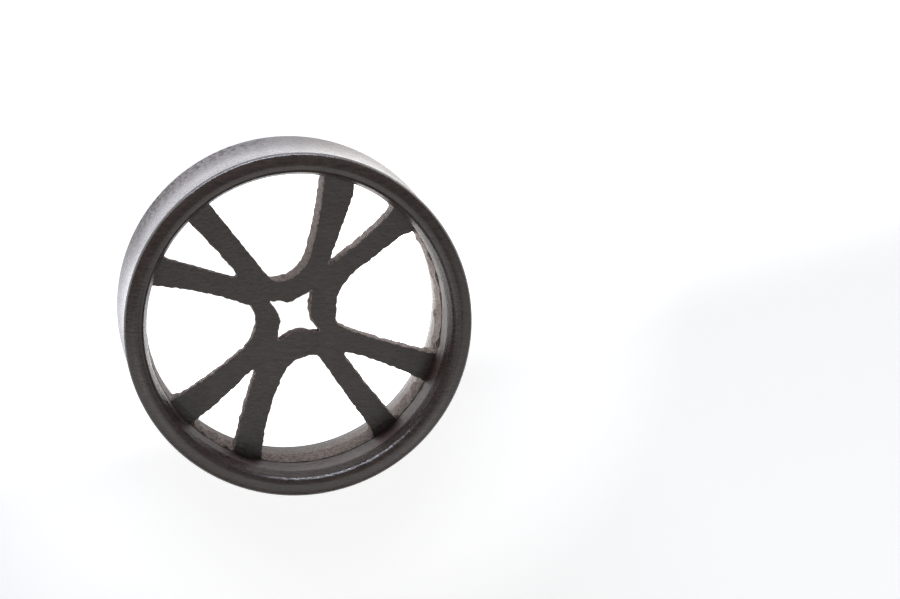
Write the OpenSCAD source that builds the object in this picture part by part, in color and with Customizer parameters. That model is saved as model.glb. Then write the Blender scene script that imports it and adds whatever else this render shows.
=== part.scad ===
// Double flare ear tunnel, turned from one piece of dark hardwood and lying on its rear lip.
// A pierced web of eight spokes crosses the bore halfway down. All sizes are in millimetres.

/* [Tunnel] */
// Width of the tunnel from lip to lip
tunnel_w = 15.2; // [14:0.2:18]
// Diameter across each flare
flare_d = 40.8; // [40.4:0.2:41.2]
// Diameter of the saddle between the flares
saddle_d = 38; // [37.4:0.2:39]
// Width of the straight middle of the saddle
saddle_flat_w = 3.3; // [1:0.1:6]
// Height of the thin upright rim at the edge of each flare
rim_h = 0.18; // [0.1:0.02:0.4]

/* [Lips] */
// Diameter of the crest of each domed lip
crest_d = 38.2; // [37.8:0.1:38.6]
// Radius of the dome in section
dome_r = 2; // [1.9:0.1:2.4]
// Width of the narrow flat land on the crest
land_w = 0.56; // [0.3:0.02:0.8]
// Diameter of the crisp edge inside each lip
mouth_d = 36.4; // [36.2:0.1:36.8]
// Depth of the cone from that edge down to the bore
mouth_depth = 1.7; // [1:0.1:2.4]

/* [Bore and web] */
// Diameter of the bore
bore_d = 35.3; // [34.6:0.1:35.8]
// Thickness of the web
web_t = 3.2; // [2:0.1:5]
// Step that the web's blank leaves round the bore
ledge_w = 0.15; // [0.05:0.05:0.3]

/* [Hidden] */
wood = "#3d3632";
$fn = 96;

// Bore diameter at which the corners of the web's openings are laid out
laid_out_bore_d = 35.3;
// Longest straight step along an outline
step = 0.7;
// Straight steps round each rounded corner
round_steps = 6;
// How far a cutter stands past the face that it cuts
past = 1;

half_w = tunnel_w / 2;
flare_r = flare_d / 2;
saddle_r = saddle_d / 2;
bore_r = bore_d / 2;
mouth_r = mouth_d / 2;
crest_r = crest_d / 2;
opening_r = laid_out_bore_d / 2 - ledge_w;
web_scale = bore_d / laid_out_bore_d;

// Heights above the middle of the tunnel: the dome's centre, then points on the dome at three radii
dome_z = half_w - dome_height(land_w / 2);
rim_z = dome_z + dome_height(flare_r - crest_r);
mouth_z = dome_z + dome_height(crest_r - mouth_r);
cone_z = mouth_z - mouth_depth;

// The saddle's side curves leave the straight middle without a kink and end at the rim
curve_in = flare_r - saddle_r;
curve_up = rim_z - rim_h - saddle_flat_w / 2;
curve_r = (curve_in ^ 2 + curve_up ^ 2) / (2 * curve_in);

// Corners of the openings, anticlockwise from the front: [x, y, rounding, bow]. Rounding is the length that the
// corner takes off both of its sides, and bow is how far the side to the next corner swells out of the opening.
// The first and last corners lie on the bore, and the side between them follows it.
petals = [
    [
        [-10.50, 13.90, 0.50, 0.00],
        [-2.70, 4.30, 0.75, 0.15],
        [1.00, 4.80, 2.75, 0.40],
        [3.25, 17.15, 0.20, 0]
    ],
    [
        [-14.35, -9.95, 0.30, 0.20],
        [-6.45, -4.20, 0.60, 0.20],
        [-4.85, -2.00, 0.75, 0.50],
        [-5.25, 1.35, 0.25, 0.45],
        [-17.15, 3.80, 0.20, 0]
    ],
    [
        [9.65, -14.95, 0.25, 0.10],
        [9.50, -13.65, 0.40, -0.05],
        [2.95, -4.65, 0.25, -0.05],
        [0.00, -4.60, 2.60, 0.75],
        [-3.65, -17.25, 0.50, 0]
    ],
    [
        [14.20, 10.20, 0.15, 0.05],
        [12.60, 9.75, 0.35, -0.05],
        [6.10, 4.70, 1.95, 0.60],
        [5.20, -1.05, 0.75, 0.25],
        [16.95, -4.50, 0.35, 0]
    ]
];
wedges = [
    [
        [6.75, 16.05, 0.40, 0.00],
        [6.75, 14.50, 0.50, 0.00],
        [3.85, 6.05, 0.75, 0.32],
        [11.70, 13.05, 0.65, 0]
    ],
    [
        [-16.05, 7.25, 0.40, -0.05],
        [-6.15, 4.40, 1.95, 0.10],
        [-13.00, 11.80, 0.75, 0]
    ],
    [
        [-6.95, -16.15, 0.45, 0.00],
        [-6.40, -13.90, 0.80, -0.20],
        [-3.80, -4.95, 3.50, -0.35],
        [-11.95, -12.70, 0.25, 0]
    ],
    [
        [15.75, -7.85, 0.60, 0.30],
        [5.65, -4.05, 1.20, 0.15],
        [12.30, -12.35, 0.80, 0]
    ]
];
// Corners of the star hole in the hub, in the same columns. No side of it follows the bore.
star = [
    [-2.85, 1.85, 0.10, -0.10],
    [-1.55, -0.40, 0.30, 0.15],
    [-1.80, -2.90, 0.25, -0.10],
    [0.75, -1.35, 1.25, 0.20],
    [3.10, -1.70, 0.20, -0.25],
    [1.75, 0.95, 1.05, 0.00],
    [2.05, 3.20, 0.10, 0.00],
    [-0.70, 1.60, 0.65, 0.20]
];

// Columns of the corner tables
function corner(row) = [row[0], row[1]];
function rounding(row) = row[2];
function bow(row) = row[3];

// Height of the dome over its centre, at a distance across from the crest
function dome_height(across) = sqrt(dome_r ^ 2 - across ^ 2);

// The rows with their first and last corners moved straight out onto the opening's round side
function on_bore(rows) = [
    for (i = [0:len(rows) - 1])
        let (p = corner(rows[i]))
        let (q = i == 0 || i == len(rows) - 1 ? p * opening_r / norm(p) : p)
        [q.x, q.y, rounding(rows[i]), bow(rows[i])]
];

// Point at t, from 0 to 1, of the side from corner a to corner b: a chord with a low parabola added across it
function bowed_point(a, b, swell, t) =
    let (across = [b.y - a.y, a.x - b.x] / norm(b - a))
    a + (b - a) * t + across * swell * 4 * t * (1 - t);

// Point at t of the round side, which turns from a to b the short way about the bore's axis
function bore_point(a, b, t) =
    let (from = atan2(a.y, a.x))
    let (turn = ((atan2(b.y, b.x) - from) % 360 + 540) % 360 - 180)
    norm(a) * [cos(from + turn * t), sin(from + turn * t)];

// Point at t of side i of the outline
function side_point(rows, i, t, follows_bore) =
    let (a = corner(rows[i]))
    let (b = corner(rows[(i + 1) % len(rows)]))
    follows_bore && i == len(rows) - 1 ? bore_point(a, b, t) : bowed_point(a, b, bow(rows[i]), t);

// Length of the chord of side i
function side_length(rows, i) = norm(corner(rows[(i + 1) % len(rows)]) - corner(rows[i]));

// The outline: a rounding about each corner, which is a curve from one side to the next that the corner pulls
// on, and then the points of the side that follows it
function outline(rows, follows_bore) = [
    for (i = [0:len(rows) - 1])
        let (before = (i + len(rows) - 1) % len(rows))
        let (after = (i + 1) % len(rows))
        let (length = side_length(rows, i))
        let (leave = rounding(rows[i]) / length)
        let (arrive = 1 - rounding(rows[after]) / length)
        let (a = side_point(rows, before, 1 - rounding(rows[i]) / side_length(rows, before), follows_bore))
        let (b = side_point(rows, i, leave, follows_bore))
        let (room = assert(leave < arrive, "Two roundings meet on a side of an opening") arrive - leave)
        let (steps = max(2, ceil(length * room / step)))
        each concat(
            [
                for (k = [0:round_steps])
                    let (s = k / round_steps)
                    a * (1 - s) ^ 2 + corner(rows[i]) * 2 * s * (1 - s) + b * s ^ 2
            ],
            [
                for (k = [1:steps - 1])
                    side_point(rows, i, leave + room * k / steps, follows_bore)
            ]
        )
];

// Section of the wall and the web, as radius and height from the middle
module section() {
    difference() {
        translate([0, -half_w])
            square([flare_r, tunnel_w]);
        for (side = [0, 1])
            mirror([0, side]) {
                lip_cut();
                mouth_cut();
                saddle_curve();
            }
        translate([saddle_r, -saddle_flat_w / 2])
            square([curve_in + past, saddle_flat_w]);
    }
}

// What the dome leaves of the square end, above the dome's centre
module lip_cut() {
    difference() {
        translate([0, dome_z])
            square([flare_r + past, half_w - dome_z + past]);
        translate([crest_r, dome_z])
            circle(r = dome_r);
    }
}

// The bore in front of the web, opened by the cone under the lip
module mouth_cut() {
    slope = (mouth_r - bore_r) / mouth_depth;
    top_z = half_w + past;
    polygon([
        [-past, web_t / 2],
        [bore_r, web_t / 2],
        [bore_r, cone_z],
        [bore_r + slope * (top_z - cone_z), top_z],
        [-past, top_z]
    ]);
}

// The curve on one side of the saddle's straight middle
module saddle_curve() {
    translate([saddle_r + curve_r, saddle_flat_w / 2])
        circle(r = curve_r);
}

// A cutter for one opening, with the outline of its corner table
module opening_cutter(rows, follows_bore) {
    corners = follows_bore ? on_bore(rows) : rows;
    translate([0, 0, -web_t / 2 - past])
        linear_extrude(web_t + 2 * past)
            polygon(outline(corners, follows_bore) * web_scale);
}

module tunnel() {
    color(wood)
        translate([0, 0, half_w])
            difference() {
                rotate_extrude()
                    section();
                for (rows = concat(petals, wedges))
                    opening_cutter(rows, true);
                opening_cutter(star, false);
            }
}

tunnel();
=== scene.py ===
# Double flare ear tunnel in oiled ebony: one turned ring with a sawn web of eight spokes across its bore.
# The ring lies on its rear flare, with its axis along +Z and the middle of its rear face at the origin.
# Lengths in the dictionaries are millimetres.
import bpy
import numpy as np
from mathutils import Matrix, Vector
from mathutils.geometry import delaunay_2d_cdt


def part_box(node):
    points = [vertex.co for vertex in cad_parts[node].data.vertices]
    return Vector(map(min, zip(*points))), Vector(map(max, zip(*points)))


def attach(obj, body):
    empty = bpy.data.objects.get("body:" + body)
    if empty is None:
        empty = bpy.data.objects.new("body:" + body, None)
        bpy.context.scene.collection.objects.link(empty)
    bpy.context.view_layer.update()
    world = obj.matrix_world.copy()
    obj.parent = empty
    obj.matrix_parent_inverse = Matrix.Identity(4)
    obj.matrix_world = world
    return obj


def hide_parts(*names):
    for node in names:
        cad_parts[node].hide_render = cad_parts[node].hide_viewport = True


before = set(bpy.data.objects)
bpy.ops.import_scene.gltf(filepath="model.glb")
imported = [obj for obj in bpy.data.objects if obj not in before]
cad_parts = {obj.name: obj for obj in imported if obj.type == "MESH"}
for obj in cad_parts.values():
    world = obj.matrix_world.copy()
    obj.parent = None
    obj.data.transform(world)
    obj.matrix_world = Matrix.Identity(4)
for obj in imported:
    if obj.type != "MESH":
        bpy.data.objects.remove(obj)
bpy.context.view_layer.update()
mm = 0.001

# The driving sizes come from the frame: the flare from its smaller width, and the length from its height
cadLow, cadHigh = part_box("tunnel")
flareRadius = min(cadHigh.x - cadLow.x, cadHigh.y - cadLow.y) / 2 / mm
halfWidth = (cadHigh.z - cadLow.z) / 2 / mm
print(f"frame: flare {2 * flareRadius:.2f} mm, tunnel {2 * halfWidth:.2f} mm long")


# Turned ring
ring = {
    "saddleRadius": 19.0,       # middle of the outside
    "saddleFlat": 3.3,          # straight length there
    "rimHeight": 0.03,          # thin upright edge of each flare, then a bevel and a round over it
    "bevelLength": 0.32,
    "bevelUp": 30.0,            # degrees by which the bevel faces upwards
    "rimRound": 0.32,
    "crestRadius": 18.9,        # highest circle of each lip
    "crestSlope": 6.0,          # degrees, the slope of the lip's outer dome at the crest and at the rim
    "rimSlope": 30.0,
    "mouthRadius": 18.2,        # edge inside the lip
    "mouthDrop": 0.194,         # how far the facet falls to it from the crest
    "mouthDepth": 1.7,          # cone from that edge down to the bore
    "boreRadius": 17.65,        # in front of the web
    "rearBoreRadius": 17.45,    # and behind it
    "boreMargin": 0.02,         # over the bore's radius, what still counts as the bore
    "webThickness": 3.2,
    "webLip": 0.02,             # how far the ring reaches in over the web
    "roughDownTo": -3.9,        # height over the middle at which the bore behind the web turns smooth
    "saddleEdge": 0.07,         # lengths over which the corners are eased
    "crestEdge": 0.22,
    "mouthEdge": 0.9,
    "coneEdge": 0.20,
    "webCorner": 0.04,
    "leastEdge": 1e-5,          # half of the least such length
    "domePoints": 24,           # points of each curve of the sharp section
    "rimPoints": 16,
    "saddlePoints": 40,
    "fineStep": 0.004,          # between the points that are averaged to ease it
    "easedPoints": 3000,        # points of the eased section, before they are shared out
    "around": 360,              # columns round the ring
    "longestStep": 0.7,         # between two rings of the mesh
    "turnPerRing": 8.0,         # degrees of bend between them
}


def alongPath(path):
    # Length travelled at each point of a polyline
    return np.r_[0.0, np.cumsum(np.linalg.norm(np.diff(path, axis=0), axis=1))]


def easedPath(path, stations, windows):
    # Mean of the path over a window about each station: straight stretches stay where they are, and a
    # corner turns into a parabola that leaves its two sides half a window away from it
    travelled = alongPath(path)
    fine = np.unique(np.r_[np.arange(0, travelled[-1], ring["fineStep"]), travelled])
    points = np.stack([np.interp(fine, travelled, path[:, k]) for k in (0, 1)], 1)
    area = np.zeros_like(points)
    area[1:] = np.cumsum((points[1:] + points[:-1]) / 2 * np.diff(fine)[:, None], axis=0)
    half = np.minimum(np.minimum(windows / 2, stations), fine[-1] - stations)
    half = np.maximum(half, ring["leastEdge"])
    start = np.clip(stations - half, 0, fine[-1])
    stop = np.clip(stations + half, 0, fine[-1])
    total = [np.interp(stop, fine, area[:, k]) - np.interp(start, fine, area[:, k]) for k in (0, 1)]
    return np.stack(total, 1) / (stop - start)[:, None]


def arcPoints(centre, radius, start, stop, count):
    # Centre plus radius times (cosine, sine) of angles in degrees from start to stop
    angles = np.radians(np.linspace(start, stop, count))
    return np.asarray(centre) + radius * np.stack([np.cos(angles), np.sin(angles)], 1)


def ringSection(boreRadius):
    # Section as (radius, height over the middle): web, bore, cone, facet, crest, outer dome, rim and
    # saddle. The rim's round meets the dome and the bevel without a kink. Gives the sharp path of one
    # half, and the corners on it with the length over which each is eased.
    s = ring
    slopes = np.radians([s["crestSlope"], s["rimSlope"]])
    bevelUp = np.radians(s["bevelUp"])
    bevel = s["bevelLength"] * np.array([np.sin(bevelUp), -np.cos(bevelUp)])
    rimWidth = bevel[0] + s["rimRound"] * (np.cos(bevelUp) - np.sin(slopes[1]))
    domeWidth = flareRadius - s["crestRadius"] - rimWidth
    domeRadius = domeWidth / np.diff(np.sin(slopes))[0]
    domeCentre = (s["crestRadius"] - domeRadius * np.sin(slopes[0]),
                  halfWidth - domeRadius * np.cos(slopes[0]))
    dome = arcPoints(domeCentre, domeRadius, 90 - s["crestSlope"], 90 - s["rimSlope"], s["domePoints"])
    roundCentre = dome[-1] - s["rimRound"] * np.array([np.sin(slopes[1]), np.cos(slopes[1])])
    rim = arcPoints(roundCentre, s["rimRound"], 90 - s["rimSlope"], s["bevelUp"], s["rimPoints"])[1:]
    rim = np.concatenate([rim, rim[-1:] + bevel])
    curveIn = flareRadius - s["saddleRadius"]
    curveUp = rim[-1, 1] - s["rimHeight"] - s["saddleFlat"] / 2
    curveRadius = (curveIn ** 2 + curveUp ** 2) / (2 * curveIn)
    curveCentre = (s["saddleRadius"] + curveRadius, s["saddleFlat"] / 2)
    sweep = np.degrees(np.arcsin(curveUp / curveRadius))
    saddle = arcPoints(curveCentre, curveRadius, 180 - sweep, 180, s["saddlePoints"])
    web = (boreRadius, s["webThickness"] / 2)
    mouth = (s["mouthRadius"], halfWidth - s["mouthDrop"])
    cone = (boreRadius, mouth[1] - s["mouthDepth"])
    corners = [
        [web, s["webCorner"]],
        [cone, s["coneEdge"]],
        [mouth, s["mouthEdge"]],
        [dome[0], s["crestEdge"]],
        [saddle[0], s["saddleEdge"]],
    ]
    inner = np.array([(boreRadius - s["webLip"], web[1]), web, cone, mouth])
    middle = np.array([(s["saddleRadius"], 0)])
    return np.concatenate([inner, dome, rim, saddle, middle]), corners


def sharedOut(path, longestStep, turnPerStep):
    # Points along a path, shared out by length plus turning, so that bends get more of them. Gives where
    # they are, as places on the path's own numbering.
    step = np.diff(path, axis=0)
    length = np.linalg.norm(step, axis=1)
    turning = np.arctan2(np.cross(step[:-1], step[1:]), (step[:-1] * step[1:]).sum(1))
    turning = np.abs(np.r_[turning, 0])
    total = np.r_[0.0, np.cumsum(length / longestStep + turning / np.radians(turnPerStep))]
    count = int(np.ceil(total[-1]))
    return np.interp(np.linspace(0, total[-1], count + 1), total, np.arange(len(path)))


def easedSection(path, corners):
    # The path with its corners eased, as points shared out along it
    travelled = alongPath(path)
    places = [travelled[np.argmin(np.linalg.norm(path - point, axis=1))] for point, _ in corners]
    fine = np.linspace(0, travelled[-1], ring["easedPoints"])
    section = easedPath(path, fine, np.interp(fine, places, [window for _, window in corners]))
    rows = sharedOut(section, ring["longestStep"], ring["turnPerRing"])
    return np.stack([np.interp(rows, np.arange(len(section)), section[:, k]) for k in (0, 1)], 1)


def turnedRing():
    # Each point of the eased section turns once round the axis: (r cos a, r sin a, z)
    front = easedSection(*ringSection(ring["boreRadius"]))
    rear = easedSection(*ringSection(ring["rearBoreRadius"])) * [1, -1]
    section = np.concatenate([front, rear[-2::-1]])
    turn = 2 * np.pi * np.arange(ring["around"]) / ring["around"]
    return np.stack([
        section[:, :1] * np.cos(turn),
        section[:, :1] * np.sin(turn),
        np.broadcast_to(section[:, 1:], (len(section), ring["around"])),
    ], -1)


# Openings of the web, anticlockwise from the front. Each corner is x, y, rounding and bow: rounding is the
# length that the corner takes off both sides, and bow is how far the side to the next corner swells out
# of the opening. The first and last corners lie on the bore, except in the star. lean is how far the saw
# drifted at the back, and ragged is by how much the step that the cut leaves round the bore grows.
openings = {
    "topPetal": {"lean": (-0.28, 0.02), "ragged": 0.06, "corners": [
        (-10.50, 13.90, 0.50, 0.00), (-2.70, 4.30, 0.75, 0.15), (1.00, 4.80, 2.75, 0.40),
        (3.25, 17.15, 0.20, 0)]},
    "leftPetal": {"lean": (0.21, -0.40), "ragged": 0.02, "corners": [
        (-14.35, -9.95, 0.30, 0.20), (-6.45, -4.20, 0.60, 0.20), (-4.85, -2.00, 0.75, 0.50),
        (-5.25, 1.35, 0.25, 0.45), (-17.15, 3.80, 0.20, 0)]},
    "bottomPetal": {"lean": (0, 0), "ragged": 0.03, "corners": [
        (9.65, -14.95, 0.25, 0.10), (9.50, -13.65, 0.40, -0.05), (2.95, -4.65, 0.25, -0.05),
        (0.00, -4.60, 2.60, 0.75), (-3.65, -17.25, 0.50, 0)]},
    "rightPetal": {"lean": (0.05, -0.15), "ragged": 0.13, "corners": [
        (14.20, 10.20, 0.15, 0.05), (12.60, 9.75, 0.35, -0.05), (6.10, 4.70, 1.95, 0.60),
        (5.20, -1.05, 0.75, 0.25), (16.95, -4.50, 0.35, 0)]},
    "upperRightWedge": {"lean": (0.03, -0.07), "ragged": 0.06, "corners": [
        (6.75, 16.05, 0.40, 0.00), (6.75, 14.50, 0.50, 0.00), (3.85, 6.05, 0.75, 0.32),
        (11.70, 13.05, 0.65, 0)]},
    "upperLeftWedge": {"lean": (0.20, -0.42), "ragged": 0.06, "corners": [
        (-16.05, 7.25, 0.40, -0.05), (-6.15, 4.40, 1.95, 0.10), (-13.00, 11.80, 0.75, 0)]},
    "lowerLeftWedge": {"lean": (0.17, -0.02), "ragged": 0.20, "corners": [
        (-6.95, -16.15, 0.45, 0.00), (-6.40, -13.90, 0.80, -0.20), (-3.80, -4.95, 3.50, -0.35),
        (-11.95, -12.70, 0.25, 0)]},
    "lowerRightWedge": {"lean": (0, 0), "ragged": 0.13, "corners": [
        (15.75, -7.85, 0.60, 0.30), (5.65, -4.05, 1.20, 0.15), (12.30, -12.35, 0.80, 0)]},
    "star": {"lean": (0.08, -0.33), "corners": [
        (-2.85, 1.85, 0.10, -0.10), (-1.55, -0.40, 0.30, 0.15), (-1.80, -2.90, 0.25, -0.10),
        (0.75, -1.35, 1.25, 0.20), (3.10, -1.70, 0.20, -0.25), (1.75, 0.95, 1.05, 0.00),
        (2.05, 3.20, 0.10, 0.00), (-0.70, 1.60, 0.65, 0.20)]},
}
sawing = {
    "ledge": 0.05,              # step that the cuts leave round the bore, where it is narrowest
    "rearLedge": 0.10,          # and the same step at the back
    "ledgeInside": 0.4,         # distance inside the bore at which a ledge has an opening beside it
    "raggedLengths": (1.4, 8.0),    # shortest and longest wave in which the step grows and shrinks
    "raggedPart": 3.0,          # it grows where their sum is under the size ragged divided by this
    "touching": 0.01,           # distance from the step within which a cut still follows the bore
    "freeAt": 0.4,              # distance at which it is free of the bore, and wanders in full
    "leansAt": 1.3,             # and at which it leans in full
    "wander": 0.045,            # how far the blade wandered, and in what waves
    "wanderLengths": (0.8, 4.0),
    "chatter": 0.011,           # the marks of its teeth, in the same way
    "chatterLengths": (0.22, 0.6),
    "waves": 14,                # most waves in one sum
    "leastWave": 0.5,           # weakest of them beside the strongest
    "twist": 1.1,               # how much they shift from front to back, in radians per mm
    "arris": 0.16,              # length over which the edge of a spoke is eased
    "boreArris": 0.03,          # and the edge along the bore
    "strip": 0.006,             # flat strip beyond it
    "sidePoints": 40,           # points of each side and each rounding of an outline
    "roundingPoints": 16,
    "columnStep": 0.16,         # between two columns of the mesh along an outline
    "turnPerColumn": 14.0,      # degrees of bend between them
    "arrisRows": 7,             # rows of the mesh round each arris
    "rows": 9,                  # and from one arris to the other, ends included
    "seed": 7,
}


def openingOutline(opening):
    # Each corner is a parabola that the corner pulls on, between points one rounding away from it on both
    # sides. Each side is its chord plus bow times 4 t (1 - t) across it, and the last side follows the
    # bore's circle.
    rows = np.array(opening["corners"], float)
    spot, rounding, bow = rows[:, :2].copy(), rows[:, 2], rows[:, 3]
    onBore = "ragged" in opening
    if onBore:
        ends = [0, -1]
        spot[ends] *= (ring["boreRadius"] - sawing["ledge"]) / np.linalg.norm(spot[ends], axis=1)[:, None]
    nextSpot = np.roll(spot, -1, 0)
    chord = nextSpot - spot
    length = np.linalg.norm(chord, axis=1)
    across = np.stack([chord[:, 1], -chord[:, 0]], 1) / length[:, None]
    angle = np.arctan2(spot[-1, 1], spot[-1, 0])
    turn = (np.arctan2(spot[0, 1], spot[0, 0]) - angle + np.pi) % (2 * np.pi) - np.pi

    def sidePoints(t):
        # Points of every side at t, a row for each side
        points = (spot[:, None] + chord[:, None] * t[..., None]
                  + (across * bow[:, None])[:, None] * (4 * t * (1 - t))[..., None])
        if onBore:
            around = angle + turn * t[-1]
            points[-1] = np.linalg.norm(spot[-1]) * np.stack([np.cos(around), np.sin(around)], 1)
        return points

    leave = rounding / length
    arrive = 1 - np.roll(rounding, -1) / length
    steps = np.linspace(0, 1, sawing["sidePoints"])
    sides = sidePoints(leave[:, None] + (arrive - leave)[:, None] * steps)
    before = np.roll(sides[:, -1], 1, 0)
    pull = np.linspace(0, 1, sawing["roundingPoints"])[None, :-1, None]
    rounds = (before[:, None] * (1 - pull) ** 2 + spot[:, None] * 2 * pull * (1 - pull)
              + sides[:, :1] * pull ** 2)
    return np.concatenate([rounds, sides[:, :-1]], 1).reshape(-1, 2)


def evenColumns(outline):
    # Columns round a closed outline, the distance along it at each, and its length
    closed = np.concatenate([outline, outline[:2]])
    rows = sharedOut(closed, sawing["columnStep"], sawing["turnPerColumn"])
    rows = rows[rows < len(outline)]
    travelled = alongPath(closed)
    at = np.interp(rows, np.arange(len(closed)), travelled)
    return np.stack([np.interp(at, travelled, closed[:, k]) for k in (0, 1)], 1), at, travelled[-2]


def sawWander(at, length, height, amplitude, lengths, draw):
    # Sum of sines round the outline with whole numbers of waves, whose phases shift with height
    waves = np.unique(np.round(length / np.geomspace(*lengths, sawing["waves"])).astype(int))
    waves = waves[waves > 0]
    phase = draw.uniform(0, 2 * np.pi, len(waves))
    shift = draw.normal(0, sawing["twist"], len(waves))
    size = draw.uniform(sawing["leastWave"], 1.0, len(waves)) / np.sqrt(len(waves) / 2)
    angle = (2 * np.pi * waves[:, None, None] * at[:, None] / length + phase[:, None, None]
             + shift[:, None, None] * height)
    return amplitude * np.tensordot(size, np.sin(angle), 1)


def sawnWall(opening, draw):
    # Profile carried along the outline: a flat strip, an eased arris, the cut through the web, and the same
    # behind. The cut wanders where it is free of the bore, along the bore the step that it leaves comes and
    # goes, and the drift of the saw grows evenly from front to back.
    points, at, length = evenColumns(openingOutline(opening))
    reach = np.linalg.norm(points, axis=1)[:, None]
    ledge = sawing["ledge"]
    away = ring["boreRadius"] - ledge - reach - sawing["touching"]
    free = np.clip(away / sawing["freeAt"], 0, 1)
    leans = np.clip(away / sawing["leansAt"], 0, 1)
    tangent = np.roll(points, -1, 0) - np.roll(points, 1, 0)
    tangent /= np.linalg.norm(tangent, axis=1)[:, None]
    intoWood = np.stack([tangent[:, 1], -tangent[:, 0]], 1)
    halfWeb = ring["webThickness"] / 2
    arris = sawing["boreArris"] + (sawing["arris"] - sawing["boreArris"]) * free

    # Round the arris t goes from -1 on the face to 1 on the cut, and its two sides are parabolas of t
    t = np.linspace(-1, 1, sawing["arrisRows"])
    back = np.hstack([arris / 2 + sawing["strip"], (1 - t) ** 2 / 8 * arris])
    down = np.hstack([arris * 0, (1 + t) ** 2 / 8 * arris])
    cut = halfWeb - arris / 2
    middle = cut - 2 * cut * np.linspace(0, 1, sawing["rows"])[1:-1]
    heights = np.hstack([halfWeb - down, middle, -(halfWeb - down)[:, ::-1]])
    offsets = np.hstack([back, middle * 0, back[:, ::-1]])
    wander = sawWander(at, length, heights, sawing["wander"], sawing["wanderLengths"], draw)
    chatter = sawWander(at, length, heights, sawing["chatter"], sawing["chatterLengths"], draw)
    uneven = opening.get("ragged", 0)
    ragged = sawWander(at, length, heights, uneven, sawing["raggedLengths"], draw)
    ragged = np.minimum(ragged - uneven / sawing["raggedPart"], 0)
    offsets = offsets + (wander + chatter) * free + ragged * (1 - free)
    depth = ((halfWeb - heights) / ring["webThickness"])[..., None]
    inwards = ring["boreRadius"] - ledge - ring["rearBoreRadius"] + sawing["rearLedge"]
    drift = depth * (leans[..., None] * opening["lean"] - ((1 - leans) * inwards * points / reach)[:, None])
    place = points[:, None] + intoWood[:, None] * offsets[..., None] + drift
    return np.concatenate([place, heights[..., None]], -1).transpose(1, 0, 2)


# Flat faces of the web
webGrid = {
    "spacing": 0.9,             # between the points inside a face
    "clearance": 0.45,          # how far they keep from its outlines, as a share of that
    "reach": 20,                # rows of them each way from the middle
    "weld": 1e-7,               # distance under which two points are one
}

# Order of the finishes in the mesh
oiledFinish, boreFinish, sawnFinish, boredFinish = range(4)


def insideLoop(points, loop):
    # Even-odd rule: a point is inside where a ray from it along +X crosses the loop an odd number of times
    a, b = loop, np.roll(loop, -1, 0)
    x, y = points[:, :1], points[:, 1:]
    crosses = (a[:, 1] > y) != (b[:, 1] > y)
    with np.errstate(divide="ignore", invalid="ignore"):
        where = a[:, 0] + (y - a[:, 1]) / (b[:, 1] - a[:, 1]) * (b[:, 0] - a[:, 0])
    return (crosses & (x < where)).sum(1) % 2 == 1


def hexagonalGrid(spacing, reach):
    # Every second row is moved along by half the spacing, and rows are sqrt(0.75) of it apart
    steps = np.arange(-reach, reach + 1)
    gridX, gridY = np.meshgrid(steps, steps)
    return np.stack([(gridX + gridY % 2 / 2) * spacing, gridY * spacing * np.sqrt(0.75)], -1).reshape(-1, 2)


def webFace(rim, loops):
    # Flat face between the rim and the loops: a constrained triangulation with a hexagonal grid of inner
    # points. Triangles whose middle is outside the rim or inside a loop are left out.
    grid = hexagonalGrid(webGrid["spacing"], webGrid["reach"])
    edge = np.concatenate([rim] + loops)
    nearest = np.min(np.linalg.norm(grid[:, None] - edge[None], axis=2), 1)
    clear = (nearest > webGrid["spacing"] * webGrid["clearance"]) & insideLoop(grid, rim)
    for loop in loops:
        clear &= ~insideLoop(grid, loop)
    points = np.concatenate([edge, grid[clear]])
    links = []
    first = 0
    for loop in [rim] + loops:
        index = first + np.arange(len(loop))
        links.append(np.stack([index, np.roll(index, -1)], 1))
        first += len(loop)
    links = np.concatenate(links).tolist()
    corners = [Vector(p) for p in points]
    verts, _, faces, origin, _, _ = delaunay_2d_cdt(corners, links, [], 0, webGrid["weld"])
    if len(verts) != len(points):
        raise ValueError("the outlines of the web cross each other")
    source = np.array([o[0] for o in origin])
    triangles = source[np.array([list(f) for f in faces])]
    middle = points[triangles].mean(1)
    keep = insideLoop(middle, rim)
    for loop in loops:
        keep &= ~insideLoop(middle, loop)
    triangles = triangles[keep]
    a, b, c = (points[triangles[:, k]] for k in range(3))
    turned = (b - a)[:, 0] * (c - a)[:, 1] - (b - a)[:, 1] * (c - a)[:, 0] < 0
    triangles[turned] = triangles[turned][:, ::-1]
    return grid[clear], triangles


def gridFaces(rows, columns, first):
    # Quads of a grid that closes on itself along its columns, whose points start at number first
    r, c = np.meshgrid(np.arange(rows - 1), np.arange(columns), indexing="ij")
    after = (c + 1) % columns
    quads = [r * columns + c, r * columns + after, (r + 1) * columns + after, (r + 1) * columns + c]
    return np.stack(quads, -1).reshape(-1, 4) + first


def ringFinish(shell):
    # The bore in front of the web and the bored wood close behind it each have a finish of their own
    inBore = shell[:, 0, 0] < ring["boreRadius"] + ring["boreMargin"]
    inBore = inBore[:-1] & inBore[1:]
    height = shell[1:, 0, 2]
    bored = inBore & (height < 0) & (height > ring["roughDownTo"])
    finish = np.where(bored, boredFinish, np.where(inBore & (height > 0), boreFinish, oiledFinish))
    return np.repeat(finish, ring["around"])


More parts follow.
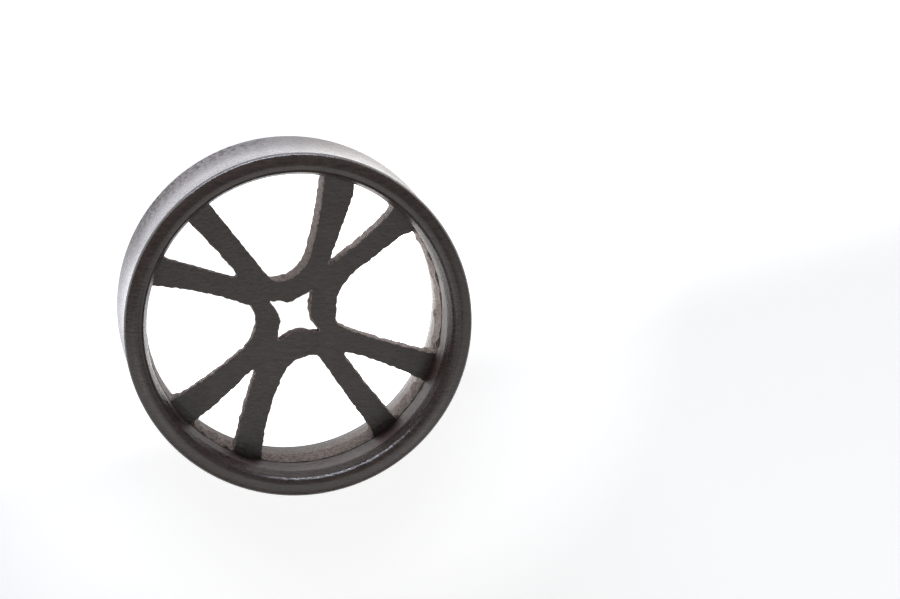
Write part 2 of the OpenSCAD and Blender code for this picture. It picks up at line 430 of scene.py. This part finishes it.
def tunnelMesh():
    # Ring, sawn walls and the web's two faces share their edge points, so the mesh is one closed skin.
    # Gives its points, quads and triangles, and the finish of each face.
    draw = np.random.default_rng(sawing["seed"])
    shell = turnedRing()
    walls = [sawnWall(opening, draw) for opening in openings.values()]
    grids = [shell] + walls
    starts = np.cumsum([0] + [g.shape[0] * g.shape[1] for g in grids])
    points = [g.reshape(-1, 3) for g in grids]
    quads = []
    finish = []
    for grid, start in zip(grids, starts):
        faces = gridFaces(grid.shape[0], grid.shape[1], start)
        quads.append(faces[:, ::-1] if grid is shell else faces)
        finish.append(ringFinish(shell) if grid is shell else np.full(len(faces), sawnFinish))
    first = starts[-1]
    triangles = []

    # The front face of the web joins the first rows of all the grids, and the back face their last rows
    for row, side in ((0, 1), (-1, -1)):
        loops = [g[row, :, :2] for g in grids]
        inner, faces = webFace(loops[0], loops[1:])
        height = np.full((len(inner), 1), side * ring["webThickness"] / 2)
        points.append(np.hstack([inner, height]))
        edges = [start + (row % len(grid)) * grid.shape[1] + np.arange(grid.shape[1])
                 for grid, start in zip(grids, starts)]
        numbers = np.concatenate(edges + [first + np.arange(len(inner))])
        first += len(inner)
        triangles.append(numbers[faces if side == 1 else faces[:, ::-1]])

        # The face of the ledge is sawn: it lies near the bore, with an opening a little further in
        middle = np.concatenate(loops + [inner])[faces].mean(1)
        reach = np.linalg.norm(middle, axis=1)
        ledgeFrom = ring["boreRadius"] - sawing["ledgeInside"]
        within = middle * (ledgeFrom / reach)[:, None]
        onLedge = (reach > ledgeFrom) & np.any([insideLoop(within, loop) for loop in loops[1:]], 0)
        finish.append(np.where(onLedge, sawnFinish, oiledFinish))
    points = np.concatenate(points) + [0, 0, halfWidth]
    return points * mm, np.concatenate(quads), np.concatenate(triangles), np.concatenate(finish)


def addNode(tree, kind, settings=None, links=None):
    # Adds a node, sets its properties and sockets by name, and links the sockets given as (node, output)
    node = tree.nodes.new(kind)
    for key, value in (settings or {}).items():
        if isinstance(key, str) and hasattr(node, key):
            setattr(node, key, value)
        else:
            node.inputs[key].default_value = value
    for key, (source, output) in (links or {}).items():
        tree.links.new(source.outputs[output], node.inputs[key])
    return node


def fromHex(text):
    # sRGB hex to linear: c / 12.92 below 0.04045, else ((c + 0.055) / 1.055) ** 2.4
    c = np.array([int(text[k:k + 2], 16) for k in (1, 3, 5)]) / 255
    linear = np.where(c < 0.04045, c / 12.92, ((c + 0.055) / 1.055) ** 2.4)
    return (*linear.tolist(), 1.0)


def finishNodes(name):
    # A new material, its node tree, its shader, and Object coordinates in millimetres
    material = bpy.data.materials.new(name)
    material.use_nodes = True
    tree = material.node_tree
    tree.nodes.clear()
    output = addNode(tree, "ShaderNodeOutputMaterial")
    shader = addNode(tree, "ShaderNodeBsdfPrincipled")
    tree.links.new(shader.outputs[0], output.inputs[0])
    coords = addNode(tree, "ShaderNodeTexCoord")
    inMm = addNode(tree, "ShaderNodeVectorMath", {"operation": "SCALE", "Scale": 1 / mm},
                   {0: (coords, "Object")})
    return material, tree, shader, inMm


def woodColour(tree, shader, noise, low, high, finish):
    # The wood's darker tone where the noise is under low, its lighter one over high, an even blend between
    colour = addNode(tree, "ShaderNodeValToRGB", None, {0: (noise, 0)})
    dark, light = colour.color_ramp.elements
    dark.position = low
    dark.color = fromHex(finish["dark"])
    light.position = high
    light.color = fromHex(finish["light"])
    tree.links.new(colour.outputs[0], shader.inputs["Base Color"])
    shader.inputs["IOR"].default_value = ebony["ior"]


# Ebony and its finishes. Scales are waves per millimetre.
ebony = {
    "ior": 1.5,
    "lip": {"dark": "#251e1b", "light": "#392f2a", "roughness": 0.28, "latheDepth": 0.4},
    "bore": {"dark": "#3c2f2c", "light": "#584440", "roughness": 0.50, "latheDepth": 3.6},
    "sawn": {"dark": "#574d4a", "light": "#a8978f", "roughness": 0.7},
    "bored": {"dark": "#554a47", "light": "#8f7f78", "roughness": 0.45},
}
oiling = {
    "figureStretch": (0.25, 1.0, 1.0),  # the grain runs along X
    "figureScale": 2.4,         # streaks about 0.4 mm wide and 1.7 mm long
    "figureLow": 0.32,
    "figureHigh": 0.68,
    "mottleStretch": (0.4, 1.0, 1.0),
    "mottleScale": 3.5,         # about 0.3 mm, coarser than what sanding leaves, so that it shows
    "mottleHeight": 1.15,
    "latheScale": 2.2,          # lathe lines about 0.45 mm apart, drawn coarser so that they show
    "relief": 0.03,             # depth of mottle and lathe lines
    "smearScale": 0.35,         # patches about 3 mm across
    "smearRoughness": 0.05,     # by how much they are rougher and smoother
    "mottleRoughness": 0.09,    # and the mottle
    "noiseLow": 0.3,            # where the noises give their least and their most
    "noiseHigh": 0.7,
    "dullPlace": (-11.5, 15.8, 3.0),    # middle of the dull patch
    "dullReach": (6.0, 14.0),   # distances from it over which it fades
    "dullHeights": (1.0, 3.6),  # and heights over the rear lip
    "dryLow": 0.35,             # mottle at which it is no rougher than the rest, and at which it is most so
    "dryHigh": 0.65,
    "dryRoughness": 0.6,
}
fibres = {
    "poreScale": 3.0,           # cut pores about 0.3 mm across, drawn coarser so that they show
    "poreLow": 0.38,
    "poreHigh": 0.62,
    "strokeStretch": (1.0, 1.0, 0.18),  # strokes run through the thickness
    "strokeScale": 4.5,         # about 0.2 mm apart
    "relief": 0.10,             # depth of strokes and pores
}


def oiledEbony(name, finish):
    # Ebony, turned, sanded and oiled: nearly black brown, with a faint figure along the grain. Sanding
    # leaves it satin, with a fine mottle in the reflections, and the gloss comes and goes where the oil
    # soaked in. Faint lathe lines run round the axis. The bore is hard to sand, so it is duller and paler,
    # and its lathe lines are deeper.
    material, tree, shader, inMm = finishNodes(name)
    along = addNode(tree, "ShaderNodeMapping", {"Scale": oiling["figureStretch"]}, {"Vector": (inMm, 0)})
    figure = addNode(tree, "ShaderNodeTexNoise", {
        "Scale": oiling["figureScale"], "Detail": 5.0, "Roughness": 0.65}, {"Vector": (along, 0)})
    woodColour(tree, shader, figure, oiling["figureLow"], oiling["figureHigh"], finish)

    # Lathe lines depend only on the distance from the axis and the height
    grain = addNode(tree, "ShaderNodeMapping", {"Scale": oiling["mottleStretch"]}, {"Vector": (inMm, 0)})
    mottle = addNode(tree, "ShaderNodeTexNoise", {
        "Scale": oiling["mottleScale"], "Detail": 3.0, "Roughness": 0.7}, {"Vector": (grain, 0)})
    flat = addNode(tree, "ShaderNodeVectorMath", {"operation": "MULTIPLY", 1: (1, 1, 0)}, {0: (inMm, 0)})
    radius = addNode(tree, "ShaderNodeVectorMath", {"operation": "LENGTH"}, {0: (flat, 0)})
    parts = addNode(tree, "ShaderNodeSeparateXYZ", None, {0: (inMm, 0)})
    turning = addNode(tree, "ShaderNodeCombineXYZ", None, {"X": (radius, "Value"), "Y": (parts, "Z")})
    lathe = addNode(tree, "ShaderNodeTexNoise", {
        "noise_dimensions": "2D", "Scale": oiling["latheScale"], "Detail": 3.0}, {"Vector": (turning, 0)})
    lathe = addNode(tree, "ShaderNodeMath", {"operation": "MULTIPLY", 1: finish["latheDepth"]},
                    {0: (lathe, 0)})
    relief = addNode(tree, "ShaderNodeMath", {"operation": "MULTIPLY_ADD", 1: oiling["mottleHeight"]},
                     {0: (mottle, 0), 2: (lathe, 0)})
    bump = addNode(tree, "ShaderNodeBump", {"Strength": 1.0, "Distance": oiling["relief"] * mm},
                   {"Height": (relief, 0)})
    tree.links.new(bump.outputs[0], shader.inputs["Normal"])

    smear = addNode(tree, "ShaderNodeTexNoise", {
        "Scale": oiling["smearScale"], "Detail": 4.0, "Roughness": 0.65}, {"Vector": (inMm, 0)})
    gloss = addNode(tree, "ShaderNodeMapRange", {
        "From Min": oiling["noiseLow"], "From Max": oiling["noiseHigh"],
        "To Min": finish["roughness"] - oiling["smearRoughness"],
        "To Max": finish["roughness"] + oiling["smearRoughness"]}, {0: (smear, 0)})
    speckled = addNode(tree, "ShaderNodeMapRange", {
        "From Min": oiling["noiseLow"], "From Max": oiling["noiseHigh"],
        "To Min": -oiling["mottleRoughness"], "To Max": oiling["mottleRoughness"]}, {0: (mottle, 0)})
    gloss = addNode(tree, "ShaderNodeMath", {"operation": "ADD"}, {0: (gloss, 0), 1: (speckled, 0)})

    # Dull patch, mottled, low on the outside at the picture's top left, where the oil has dried
    away = addNode(tree, "ShaderNodeVectorMath", {"operation": "DISTANCE", 1: oiling["dullPlace"]},
                   {0: (inMm, 0)})
    dull = addNode(tree, "ShaderNodeMapRange", {
        "interpolation_type": "SMOOTHSTEP", "From Min": oiling["dullReach"][0],
        "From Max": oiling["dullReach"][1], "To Min": 1, "To Max": 0}, {0: (away, "Value")})
    low = addNode(tree, "ShaderNodeMapRange", {
        "interpolation_type": "SMOOTHSTEP", "From Min": oiling["dullHeights"][0],
        "From Max": oiling["dullHeights"][1], "To Min": 1, "To Max": 0}, {0: (parts, "Z")})
    dull = addNode(tree, "ShaderNodeMath", {"operation": "MULTIPLY"}, {0: (dull, 0), 1: (low, 0)})
    dry = addNode(tree, "ShaderNodeMapRange", {
        "From Min": oiling["dryLow"], "From Max": oiling["dryHigh"],
        "To Min": 0.0, "To Max": oiling["dryRoughness"]}, {0: (mottle, 0)})
    gloss = addNode(tree, "ShaderNodeMath", {"operation": "MULTIPLY_ADD"},
                    {0: (dull, 0), 1: (dry, 0), 2: (gloss, 0)})
    tree.links.new(gloss.outputs[0], shader.inputs["Roughness"])
    return material


def sawnEbony(name, finish):
    # The same ebony straight from the saw or the drill: torn fibres scatter the light, so it looks paler,
    # pinkish and dry, with fine strokes through the thickness and specks where the pores were cut open. The
    # drill leaves it a little smoother and darker than the saw.
    material, tree, shader, inMm = finishNodes(name)
    pores = addNode(tree, "ShaderNodeTexNoise", {
        "Scale": fibres["poreScale"], "Detail": 4.0, "Roughness": 0.7}, {"Vector": (inMm, 0)})
    woodColour(tree, shader, pores, fibres["poreLow"], fibres["poreHigh"], finish)
    shader.inputs["Roughness"].default_value = finish["roughness"]
    through = addNode(tree, "ShaderNodeMapping", {"Scale": fibres["strokeStretch"]}, {"Vector": (inMm, 0)})
    strokes = addNode(tree, "ShaderNodeTexNoise", {"Scale": fibres["strokeScale"], "Detail": 3.0},
                      {"Vector": (through, 0)})
    relief = addNode(tree, "ShaderNodeMath", {"operation": "ADD"}, {0: (strokes, 0), 1: (pores, 0)})
    bump = addNode(tree, "ShaderNodeBump", {"Strength": 1.0, "Distance": fibres["relief"] * mm},
                   {"Height": (relief, 0)})
    tree.links.new(bump.outputs[0], shader.inputs["Normal"])
    return material


points, quads, triangles, finish = tunnelMesh()
mesh = bpy.data.meshes.new("tunnel_wood")
mesh.from_pydata(points.tolist(), [], quads.tolist() + triangles.tolist())
for material in (oiledEbony("oiledEbony", ebony["lip"]), oiledEbony("boreEbony", ebony["bore"]),
                 sawnEbony("sawnEbony", ebony["sawn"]), sawnEbony("boredEbony", ebony["bored"])):
    mesh.materials.append(material)
mesh.polygons.foreach_set("material_index", finish)
mesh.polygons.foreach_set("use_smooth", np.ones(len(mesh.polygons), bool))
mesh.validate()
mesh.update()
wood = bpy.data.objects.new("tunnel_wood", mesh)
bpy.context.scene.collection.objects.link(wood)
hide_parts("tunnel")
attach(wood, "root")
print(f"tunnel: {len(points)} points, {2 * len(quads) + len(triangles)} triangles")


# Pale floor, whose glow is painted light. It glows, more towards the top of the picture, as a white sweep
# that is lit from behind, with painted pools of light beside the ring and to its left and top right, and
# painted shade in the middle of the bore, under the web's hub. Inside the bore it burns out to the lens, as
# white paper does in a photograph.
floor = {
    "size": 4000.0,
    "colour": "#f0f0f0",
    "roughness": 0.8,
    "towards": 105.0,           # degrees, the way in which the glow grows
    "near": -16.0,              # distances that way between which it grows, and its strength at both
    "far": 24.0,
    "glowNear": 0.38,
    "glowFar": 3.6,
    # Close beside the ring the glow is stronger: painted light
    "besideRadii": (20.4, 27.0),    # close beside the ring there is a little more of it
    "besideShare": 1.1,
    "farRadii": (23.0, 50.0),   # and less of it far away
    "farShare": 0.4,
    # Painted pools of light, left and top right
    "sideSpots": (              # place, reach and strength of brighter patches, left and top right
        ((-26.0, -3.5, 0.0), 15.0, 6.0),
        ((16.0, 20.0, 0.0), 15.0, 3.4),
    ),
    "bluish": "#f3f5fe",        # colour that it turns to, the way in which it does, and the distances
    "bluishTowards": 150.0,
    "bluishNear": 2.0,
    "bluishFar": 18.0,
    "seenFar": 0.12,            # how much more of it the camera sees far away, and where that sets in
    "seenFarRadii": (25.0, 38.0),
    "seenMost": 0.8,            # the most of it that the camera sees
    "insideRadius": 18.0,
    "insideTowards": 40.0,      # degrees, the way in which the glow inside the bore grows
    "insideNear": 0.45,
    "insideFar": 2.6,
    # Painted shade: the glow is weaker in the middle of the bore, under the web's hub
    "middleRadii": (5.0, 15.0), # inside the bore it is weaker in the middle
    "middleShare": 0.25,
    # Painted pool of light inside the bore
    "insideSpot": ((-9.0, -6.0, 0.0), 8.0, 2.5),    # place, reach and strength of a brighter patch there
    "burntOut": 0.8,            # how much more the camera sees there
}
floorMesh = bpy.data.meshes.new("floor")
edge = floor["size"] / 2 * mm
floorCorners = [(-edge, -edge, 0), (edge, -edge, 0), (edge, edge, 0), (-edge, edge, 0)]
floorMesh.from_pydata(floorCorners, [], [(0, 1, 2, 3)])
floorPiece = bpy.data.objects.new("floor", floorMesh)
bpy.context.scene.collection.objects.link(floorPiece)
floorPaint, tree, shader, inMm = finishNodes("whiteSweep")
radius = addNode(tree, "ShaderNodeVectorMath", {"operation": "LENGTH"}, {0: (inMm, 0)})


def glowRamp(towards, near, far, glowNear, glowFar):
    # Smooth step along one way across the floor
    way = (np.cos(np.radians(towards)), np.sin(np.radians(towards)), 0)
    along = addNode(tree, "ShaderNodeVectorMath", {"operation": "DOT_PRODUCT", 1: way}, {0: (inMm, 0)})
    return addNode(tree, "ShaderNodeMapRange", {
        "interpolation_type": "SMOOTHSTEP", "From Min": near, "From Max": far,
        "To Min": glowNear, "To Max": glowFar}, {0: (along, "Value")})


def glowSpot(place, reach, strength):
    # Painted pool of light: a smooth step down to nothing, with the distance from a place on the floor
    away = addNode(tree, "ShaderNodeVectorMath", {"operation": "DISTANCE", 1: place}, {0: (inMm, 0)})
    return addNode(tree, "ShaderNodeMapRange", {
        "interpolation_type": "SMOOTHSTEP", "From Min": 0, "From Max": reach,
        "To Min": strength, "To Max": 0}, {0: (away, "Value")})


def glowOutwards(radii, inner, outer):
    # Even change from inner to outer, with the distance from the ring's axis
    return addNode(tree, "ShaderNodeMapRange", {
        "From Min": radii[0], "From Max": radii[1],
        "To Min": inner, "To Max": outer}, {0: (radius, "Value")})


# Outside the ring, with painted light close beside it and painted pools of light to the left and top right
glow = glowRamp(floor["towards"], floor["near"], floor["far"], floor["glowNear"], floor["glowFar"])
beside = glowOutwards(floor["besideRadii"], floor["besideShare"], 1.0)
faraway = glowOutwards(floor["farRadii"], 1.0, floor["farShare"])
glow = addNode(tree, "ShaderNodeMath", {"operation": "MULTIPLY"}, {0: (glow, 0), 1: (beside, 0)})
glow = addNode(tree, "ShaderNodeMath", {"operation": "MULTIPLY"}, {0: (glow, 0), 1: (faraway, 0)})
for place, reach, strength in floor["sideSpots"]:
    more = glowSpot(place, reach, strength)
    glow = addNode(tree, "ShaderNodeMath", {"operation": "ADD"}, {0: (glow, 0), 1: (more, 0)})
seenFar = glowOutwards(floor["seenFarRadii"], 0, floor["seenFar"])
seenGlow = addNode(tree, "ShaderNodeMath", {"operation": "ADD"}, {0: (glow, 0), 1: (seenFar, 0)})
seenGlow = addNode(tree, "ShaderNodeMath", {"operation": "MINIMUM", 1: floor["seenMost"]},
                   {0: (seenGlow, 0)})
rays = addNode(tree, "ShaderNodeLightPath")
glow = addNode(tree, "ShaderNodeMix", {"data_type": "FLOAT"},
               {0: (rays, "Is Camera Ray"), 2: (glow, 0), 3: (seenGlow, 0)})

# Inside the bore, with painted shade in its middle and a painted pool of light
glowInside = glowRamp(floor["insideTowards"], -floor["insideRadius"], floor["insideRadius"],
                      floor["insideNear"], floor["insideFar"])
middle = glowOutwards(floor["middleRadii"], floor["middleShare"], 1.0)
glowInside = addNode(tree, "ShaderNodeMath", {"operation": "MULTIPLY"},
                     {0: (glowInside, 0), 1: (middle, 0)})
more = glowSpot(*floor["insideSpot"])
glowInside = addNode(tree, "ShaderNodeMath", {"operation": "ADD"}, {0: (glowInside, 0), 1: (more, 0)})
seenInside = addNode(tree, "ShaderNodeMath", {"operation": "MULTIPLY_ADD", 1: floor["burntOut"]},
                     {0: (rays, "Is Camera Ray"), 2: (glowInside, 0)})

inside = addNode(tree, "ShaderNodeMath", {"operation": "LESS_THAN", 1: floor["insideRadius"]},
                 {0: (radius, "Value")})
glow = addNode(tree, "ShaderNodeMix", {"data_type": "FLOAT"},
               {0: (inside, 0), 2: (glow, 0), 3: (seenInside, 0)})
tree.links.new(glow.outputs[0], shader.inputs["Emission Strength"])
bluish = glowRamp(floor["bluishTowards"], floor["bluishNear"], floor["bluishFar"], 0, 1)
tint = addNode(tree, "ShaderNodeMix", {"data_type": "RGBA", 6: (1, 1, 1, 1), 7: fromHex(floor["bluish"])},
               {0: (bluish, 0)})
tree.links.new(tint.outputs[2], shader.inputs["Emission Color"])
shader.inputs["Base Color"].default_value = fromHex(floor["colour"])
shader.inputs["Roughness"].default_value = floor["roughness"]
floorMesh.materials.append(floorPaint)

# Soft studio light: a bright panel low over the top of the picture, and pale cards below, beside and
# before the ring. The room is dim, so that what faces up the picture stays dark.
lamps = {
    "softBox": {"place": (-100, 430, 40), "size": (520, 70), "radiance": 35.0, "colour": "#eaf0ff"},
    "frontCard": {"place": (-50, -270, 310), "size": (900, 300), "radiance": 1.15, "colour": "#ffffff"},
    "leftCard": {"place": (-360, -240, 110), "size": (260, 200), "radiance": 1.0, "colour": "#ffffff"},
    "rightCard": {"place": (290, -110, 190), "size": (380, 300), "radiance": 0.9, "colour": "#ffffff"},
    "lowCard": {"place": (-215, -195, 480), "size": (170, 190), "radiance": 1.3, "colour": "#ffffff"},
    "topCard": {"place": (60, -90, 420), "size": (220, 220), "radiance": 0.95, "colour": "#ffffff"},
}
for name, s in lamps.items():
    light = bpy.data.lights.new(name, "AREA")
    light.shape = "RECTANGLE"
    light.size, light.size_y = (v * mm for v in s["size"])
    light.color = fromHex(s["colour"])[:3]
    light.energy = s["radiance"] * np.pi * light.size * light.size_y     # watts
    lamp = bpy.data.objects.new(name, light)
    place = Vector(s["place"]) * mm
    lamp.matrix_world = Matrix.Translation(place) @ (-place).to_track_quat("-Z", "Y").to_matrix().to_4x4()
    lamp.visible_camera = False
    bpy.context.scene.collection.objects.link(lamp)

room = {
    "light": 0.15,              # how bright the room is
    "backdrop": 1.0,            # and how bright the camera sees it, past the floor
}
world = bpy.data.worlds.new("studio")
world.use_nodes = True
tree = world.node_tree
tree.nodes.clear()
rays = addNode(tree, "ShaderNodeLightPath")
roomLight = addNode(tree, "ShaderNodeBackground", {"Color": (1, 1, 1, 1), "Strength": room["light"]})
backdrop = addNode(tree, "ShaderNodeBackground", {"Color": (1, 1, 1, 1), "Strength": room["backdrop"]})
mix = addNode(tree, "ShaderNodeMixShader", None,
              {0: (rays, "Is Camera Ray"), 1: (roomLight, 0), 2: (backdrop, 0)})
addNode(tree, "ShaderNodeOutputWorld", None, {0: (mix, 0)})
bpy.context.scene.world = world

# The camera looks down on the ring from the picture's left and a little from its top
view = {
    "place": (-42.65, 74.27, 387.25),
    "look": (0.15709, -0.18533, -0.97004),      # directions in which it looks, and up in the picture
    "up": (0.00364, 0.98234, -0.18709),
    "lens": 131.19,
    "sensor": 36.0,
    "nearest": 10.0,            # clipping distances
    "farthest": 20000.0,
}
camera = bpy.data.cameras.new("camera")
camera.sensor_width = view["sensor"]
camera.lens = view["lens"]
camera.clip_start = view["nearest"] * mm
camera.clip_end = view["farthest"] * mm
cameraPiece = bpy.data.objects.new("camera", camera)
back = -Vector(view["look"]).normalized()
right = Vector(view["up"]).cross(back).normalized()
up = back.cross(right)
turn = Matrix((right, up, back)).transposed()
cameraPiece.matrix_world = Matrix.Translation(Vector(view["place"]) * mm) @ turn.to_4x4()
bpy.context.scene.collection.objects.link(cameraPiece)
bpy.context.scene.camera = cameraPiece
bpy.context.scene.view_settings.view_transform = "Standard"
bpy.context.scene.view_settings.look = "None"
print("stage, lights and camera: done")
